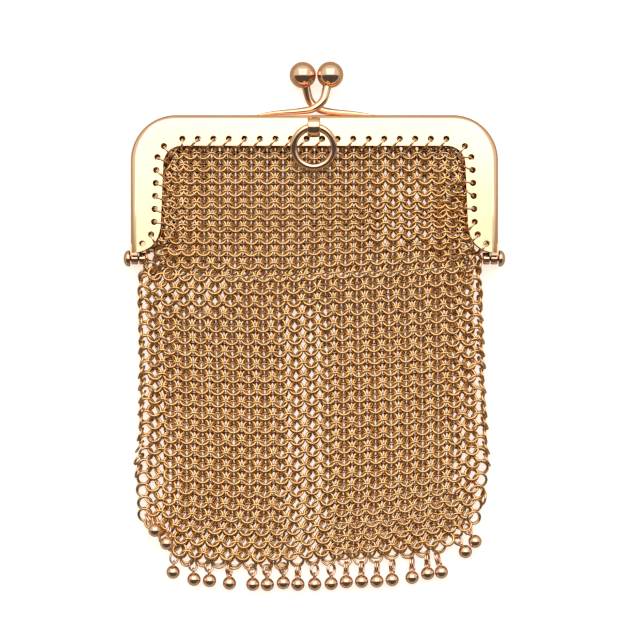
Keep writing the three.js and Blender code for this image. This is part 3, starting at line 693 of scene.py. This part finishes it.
def metal(name, light, dark, roughness, spread, scale, bump, soft_bump=0.0, plate=None):
    """Polished metal: its colour drifts between two tones and fine wear varies its roughness."""
    material = bpy.data.materials.new(name)
    material.use_nodes = True
    nodes, links = material.node_tree.nodes, material.node_tree.links
    shader = nodes["Principled BSDF"]
    shader.inputs["Metallic"].default_value = 1.0
    place = nodes.new("ShaderNodeTexCoord")
    tone = nodes.new("ShaderNodeTexNoise")
    tone.inputs["Scale"].default_value = scale
    tone.inputs["Detail"].default_value = 3.0
    links.new(place.outputs["Object"], tone.inputs["Vector"])
    ramp = nodes.new("ShaderNodeValToRGB")
    ramp.color_ramp.elements[0].position, ramp.color_ramp.elements[1].position = 0.3, 0.7
    ramp.color_ramp.elements[0].color, ramp.color_ramp.elements[1].color = (*dark, 1), (*light, 1)
    links.new(tone.outputs["Fac"], ramp.inputs["Fac"])
    colour = ramp.outputs["Color"]
    if plate:
        # painted sheen: the outward flat faces of the plates, which face the lamp overhead, are made paler
        # than the rims, balls and arms of the same metal; their distance from the middle tells
        split = nodes.new("ShaderNodeSeparateXYZ")
        links.new(place.outputs["Object"], split.inputs["Vector"])
        depth = nodes.new("ShaderNodeMath")
        depth.operation = "SUBTRACT"
        depth.inputs[1].default_value = PLATE_FRONT * MM
        links.new(split.outputs["Z"], depth.inputs[0])
        away = nodes.new("ShaderNodeMath")
        away.operation = "ABSOLUTE"
        links.new(depth.outputs[0], away.inputs[0])
        share = nodes.new("ShaderNodeMapRange")
        share.inputs["From Min"].default_value = (PLATE_FRONT - 0.22) * MM
        share.inputs["From Max"].default_value = (PLATE_FRONT - 0.05) * MM
        links.new(away.outputs[0], share.inputs["Value"])
        over = nodes.new("ShaderNodeMapRange")
        over.inputs["From Min"].default_value = (PLATE_FRONT + 0.05) * MM
        over.inputs["From Max"].default_value = (PLATE_FRONT + 0.3) * MM
        over.inputs["To Min"].default_value, over.inputs["To Max"].default_value = 1.0, 0.0
        links.new(away.outputs[0], over.inputs["Value"])
        painted_sheen_share = nodes.new("ShaderNodeMath")
        painted_sheen_share.operation = "MULTIPLY"
        links.new(share.outputs["Result"], painted_sheen_share.inputs[0])
        links.new(over.outputs["Result"], painted_sheen_share.inputs[1])
        mix = nodes.new("ShaderNodeMix")
        mix.data_type = "RGBA"
        mix.inputs["B"].default_value = (*plate, 1)
        links.new(painted_sheen_share.outputs[0], mix.inputs["Factor"])
        links.new(colour, mix.inputs["A"])
        colour = mix.outputs["Result"]
    links.new(colour, shader.inputs["Base Color"])
    wear = nodes.new("ShaderNodeTexNoise")
    wear.inputs["Scale"].default_value = scale * 9
    wear.inputs["Detail"].default_value = 4.0
    links.new(place.outputs["Object"], wear.inputs["Vector"])
    spread_node = nodes.new("ShaderNodeMapRange")
    spread_node.inputs["To Min"].default_value = roughness - spread
    spread_node.inputs["To Max"].default_value = roughness + spread
    links.new(wear.outputs["Fac"], spread_node.inputs["Value"])
    links.new(spread_node.outputs["Result"], shader.inputs["Roughness"])
    fine = nodes.new("ShaderNodeBump")
    fine.inputs["Strength"].default_value = bump
    fine.inputs["Distance"].default_value = 0.00002
    links.new(wear.outputs["Fac"], fine.inputs["Height"])
    if soft_bump:
        swell = nodes.new("ShaderNodeTexNoise")
        swell.inputs["Scale"].default_value = 60.0
        swell.inputs["Detail"].default_value = 1.0
        links.new(place.outputs["Object"], swell.inputs["Vector"])
        broad = nodes.new("ShaderNodeBump")
        broad.inputs["Strength"].default_value = soft_bump
        broad.inputs["Distance"].default_value = 0.0008
        links.new(swell.outputs["Fac"], broad.inputs["Height"])
        links.new(fine.outputs["Normal"], broad.inputs["Normal"])
        links.new(broad.outputs["Normal"], shader.inputs["Normal"])
    else:
        links.new(fine.outputs["Normal"], shader.inputs["Normal"])
    return material


# the plate colour of frame_gold is a painted sheen on the outward plate faces, not a different alloy
FRAME_GOLD = metal("frame_gold", (0.95, 0.62, 0.39), (0.91, 0.56, 0.34), 0.12, 0.04, 120, 0.15,
                   soft_bump=0.12, plate=(0.96, 0.75, 0.45))
ROSE_GOLD = metal("rose_gold", (0.92, 0.61, 0.40), (0.86, 0.54, 0.34), 0.12, 0.04, 300, 0.1)
MESH_GOLD = metal("mesh_gold", (0.86, 0.54, 0.24), (0.77, 0.44, 0.17), 0.17, 0.05, 400, 0.1)

# ---------------------------------------------------------------- making the pieces

front = Shape()
add_parts(front, frame_half(0, 1, 1))
eye_points, eye_faces = turned(eye_profile(), EYE_AT, 48)
front.add(eye_points, eye_faces)
front.build("front_half", FRAME_GOLD, "frame_gold", stands_for=("front_frame",))

back = Shape()
add_parts(back, frame_half(1, -1, -1))
back.build("back_half", FRAME_GOLD, "frame_gold", stands_for=("back_frame",))

for sign, name in ((1, "hinge_pin_right"), (-1, "hinge_pin_left")):
    cap = HALF_WIDTH + RUNNING_GAP
    inner = HALF_WIDTH - 2 * KNUCKLE_LENGTH - RUNNING_GAP - RUNNING_GAP / 2
    profile = [(inner, 0.001), (inner, PIN_RADIUS), (cap, PIN_RADIUS)]
    profile += [(cap, CAP_RADIUS - 0.1), (cap + 0.08, CAP_RADIUS)]
    profile += [(cap + 0.275 + (CAP_HEIGHT - 0.275) * math.sin(a), CAP_RADIUS * math.cos(a) + 0.001)
                for a in np.linspace(0, math.pi / 2, 9)]
    points, faces = turned(profile, (0, 0, 0), 32)
    if sign < 0:
        points, faces = flipped(points, faces, 0)
    Shape().add(points, faces).build(name + "_dome", ROSE_GOLD, "rose_gold", stands_for=(name,))

tilt = math.radians(RING_TILT)
ring_down = np.array([0, -math.cos(tilt), -math.sin(tilt)])
ring_middle = EYE_AT + ring_down * RING_RADIUS
points, faces = wire_rings(ring_middle, np.array([1.0, 0, 0]), -ring_down, RING_RADIUS, RING_WIRE, 96, 24)
Shape().add(points, faces).build("hang_ring", ROSE_GOLD, "rose_gold", body="ring",
                                 stands_for=("suspension_ring",))

centre, across, along, keep, is_front = mesh_rings()
rows = np.arange(ROWS)[:, None] * np.ones_like(keep, int)
stand_for = ("mesh_bag",)
for name, chosen in (
    ("mesh_front_upper", is_front & (rows < SPLIT_ROW)),
    ("mesh_front_lower", is_front & (rows >= SPLIT_ROW)),
    ("mesh_back_upper", ~is_front & (rows < SPLIT_ROW)),
    ("mesh_back_lower", ~is_front & (rows >= SPLIT_ROW)),
):
    pick = chosen & keep
    points, faces = wire_rings(centre[pick], across[pick], along[pick], MESH_RADIUS, MESH_WIRE,
                               RING_SEGMENTS, RING_SIDES)
    Shape().add(points, faces).build(name, MESH_GOLD, "mesh_gold", stands_for=stand_for)
    stand_for = ()

lacing = Shape()
top_holes, leg_holes = hole_centres()
rows_of_holes = (
    (top_holes, LACING_TOP), (leg_holes, LACING_RIGHT), (leg_holes * (-1, 1), LACING_LEFT),
)
for side in (1, -1):
    lacing_height, lacing_radius = LACING[side]
    for holes, headings in rows_of_holes:
        for n, (x, y) in enumerate(holes):
            # the lowest hole at the left of the front is empty
            if side > 0 and headings is LACING_LEFT and n == len(holes) - 1:
                continue
            heading = math.radians(headings[n] + RANDOM.normal(0, LACING_SPREAD))
            way = np.array([math.cos(heading), math.sin(heading), 0])
            middle = np.array([x, y, lacing_height]) + way * LACING_OUT
            points, faces = wire_rings(middle, way, np.array([0, 0, 1.0]), lacing_radius, MESH_WIRE, 24, 8)
            lacing.add(points, faces)
lacing.build("lacing_rings", ROSE_GOLD, "mesh_gold")

for n, (rotation, place) in enumerate(drop_places()):
    drop = Shape()
    points, faces = ball((0, -BALL_FROM_EYE, 0), DROP_RADIUS, 40, 24)
    drop.add(points @ rotation.T + place, faces)
    points, faces = wire_rings((0, 0, 0), np.array([0, 1.0, 0]), np.array([0, 0, 1.0]),
                               DROP_EYE, DROP_EYE_WIRE, 20, 8)
    drop.add(points @ rotation.T + place, faces)
    for offset in LINK_OFFSETS:
        points, faces = wire_rings((0, LINK_HALF, offset), np.array([1.0, 0, 0]), np.array([0, 1.0, 0]),
                                   LINK_HALF_WIDTH, LINK_WIRE * 0.9, 24, 8, LINK_HALF / LINK_HALF_WIDTH)
        drop.add(points @ rotation.T + place, faces)
    drop.build(f"drop_{n + 1:02d}", ROSE_GOLD, "rose_gold", stands_for=(f"ball_drop_{n + 1:02d}",))

# ---------------------------------------------------------------- floor, light and camera

bpy.ops.mesh.primitive_plane_add(size=3, location=(0, 0, -0.0002))
floor = bpy.context.object
floor.name = "floor"
paper = bpy.data.materials.new("paper")
paper.use_nodes = True
nodes, links = paper.node_tree.nodes, paper.node_tree.links
# painted shade: the dim brown paper that only reflections and bounced light see
painted_shade_paper = nodes["Principled BSDF"]
painted_shade_paper.inputs["Base Color"].default_value = (0.50, 0.42, 0.33, 1)
painted_shade_paper.inputs["Roughness"].default_value = 0.9
sheet = nodes.new("ShaderNodeBsdfDiffuse")
sheet.inputs["Color"].default_value = (0.35, 0.52, 0.64, 1)
bright = nodes.new("ShaderNodeEmission")
bright.inputs["Color"].default_value = (0.93, 0.74, 0.61, 1)
pale = nodes.new("ShaderNodeAddShader")
links.new(sheet.outputs["BSDF"], pale.inputs[0])
links.new(bright.outputs["Emission"], pale.inputs[1])
# what the metal mirrors of the floor, and what light bounces off it, is dimmer than what the camera sees: a
# painted shade standing in for the paper's shade under and beside the purse
seen = nodes.new("ShaderNodeLightPath")
blend = nodes.new("ShaderNodeMixShader")
links.new(seen.outputs["Is Camera Ray"], blend.inputs["Fac"])
links.new(painted_shade_paper.outputs["BSDF"], blend.inputs[1])
links.new(pale.outputs["Shader"], blend.inputs[2])
links.new(blend.outputs["Shader"], nodes["Material Output"].inputs["Surface"])
floor.data.materials.append(paper)

world = bpy.context.scene.world or bpy.data.worlds.new("tent")
bpy.context.scene.world = world
world.use_nodes = True
nodes, links = world.node_tree.nodes, world.node_tree.links
nodes.clear()
way = nodes.new("ShaderNodeTexCoord")
split = nodes.new("ShaderNodeSeparateXYZ")
links.new(way.outputs["Generated"], split.inputs["Vector"])


def number(kind, a, b=None):
    node = nodes.new("ShaderNodeMath")
    node.operation = kind
    for socket, value in zip(node.inputs, (a, b)):
        if value is None:
            continue
        if isinstance(value, (int, float)):
            socket.default_value = value
        else:
            links.new(value, socket)
    return node.outputs[0]


def ranged(value, low, high, to_low, to_high):
    node = nodes.new("ShaderNodeMapRange")
    node.interpolation_type = "SMOOTHSTEP"
    for name, given in zip(("From Min", "From Max", "To Min", "To Max"), (low, high, to_low, to_high)):
        node.inputs[name].default_value = given
    links.new(value, node.inputs["Value"])
    return node.outputs["Result"]


height = split.outputs["Z"]
beside = number("ABSOLUTE", split.outputs["X"])
# soft tent, a lamp overhead that reaches back behind the purse, and a dark side in front of it
fore_and_aft = split.outputs["Y"]
lamp = number("MULTIPLY", ranged(beside, 0.62, 0.40, 0.0, 1.0), ranged(fore_and_aft, 0.01, 0.06, 0.0, 1.0))
lamp = number("MULTIPLY", lamp, ranged(fore_and_aft, 0.85, 0.65, 0.0, 1.0))
lamp = number("MULTIPLY", lamp, ranged(height, 0.3, 0.5, 0.0, 1.0))
dark = number("MULTIPLY", ranged(fore_and_aft, -0.03, -0.13, 0.0, 1.0), ranged(height, 0.05, 0.2, 0.0, 1.0))
undimmed = number("SUBTRACT", 1.0, number("MULTIPLY", dark, 0.9))
tent = number("MULTIPLY", ranged(height, -0.2, 0.4, 0.6, 0.85), undimmed)
level = number("ADD", tent, number("MULTIPLY", lamp, 1.7))
sky = nodes.new("ShaderNodeBackground")
sky.inputs["Color"].default_value = (1, 0.98, 0.95, 1)
links.new(level, sky.inputs["Strength"])
output = nodes.new("ShaderNodeOutputWorld")
links.new(sky.outputs["Background"], output.inputs["Surface"])

camera = bpy.data.cameras.new("camera")
camera.lens = 200
camera.sensor_width = 36
camera_object = bpy.data.objects.new("camera", camera)
camera_object.location = (0.00093, 0.001145, 0.5951)
bpy.context.scene.collection.objects.link(camera_object)
bpy.context.scene.camera = camera_object
bpy.context.scene.view_settings.view_transform = "Standard"
